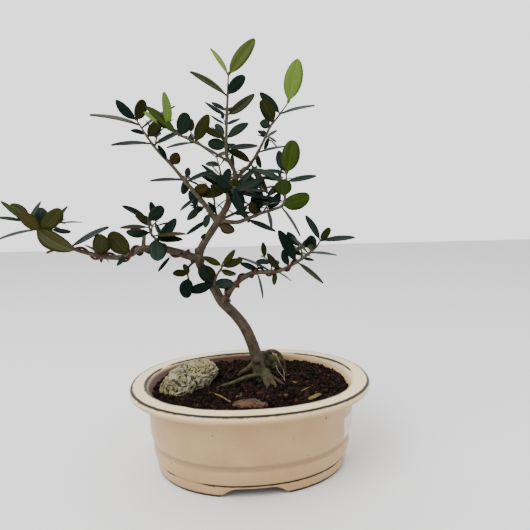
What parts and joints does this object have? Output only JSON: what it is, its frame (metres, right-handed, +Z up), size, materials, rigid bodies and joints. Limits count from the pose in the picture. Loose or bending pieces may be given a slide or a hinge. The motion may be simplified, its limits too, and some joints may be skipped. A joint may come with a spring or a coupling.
{
  "type": "olive bonsai in a pot",
  "caption": "Small olive bonsai with a curving trunk, wired boughs and open sprays of narrow leaves, in an oval cream glazed pot with soil and a stone.",
  "frame": {"origin": "bottom centre of the whole plant's box, on the plane the pot's foot stands on", "axes": "+Z up along the trunk, +X along the pot's long side to the viewer's right, -Y towards the front of the pot"},
  "size_m": [0.2096, 0.1156, 0.2581],
  "materials": {
    "glaze": "satin",
    "earth": "matte",
    "lime": "matte",
    "bark": "matte",
    "copper": "satin",
    "green": "satin"
  },
  "bodies": {
    "root": {"pot": "glaze", "soil": "earth", "stone": "lime", "trunk": "bark", "leader": "bark", "bough_left": "bark", "bough_diagonal": "bark", "bough_right": "bark", "bough_low": "bark", "bough_lookout": "bark", "wire_left": "copper", "wire_low": "copper", "spray_apex": "green", "spray_left": "green", "spray_riser": "green", "spray_elbow": "green", "spray_crotch": "green", "spray_low": "green", "spray_diagonal": "green", "spray_crest": "green", "spray_lookout": "green", "spray_heart": "green", "spray_right": "green", "spray_back_crown": "green", "spray_back_low": "green", "spray_back_right": "green"}
  },
  "joints": []
}
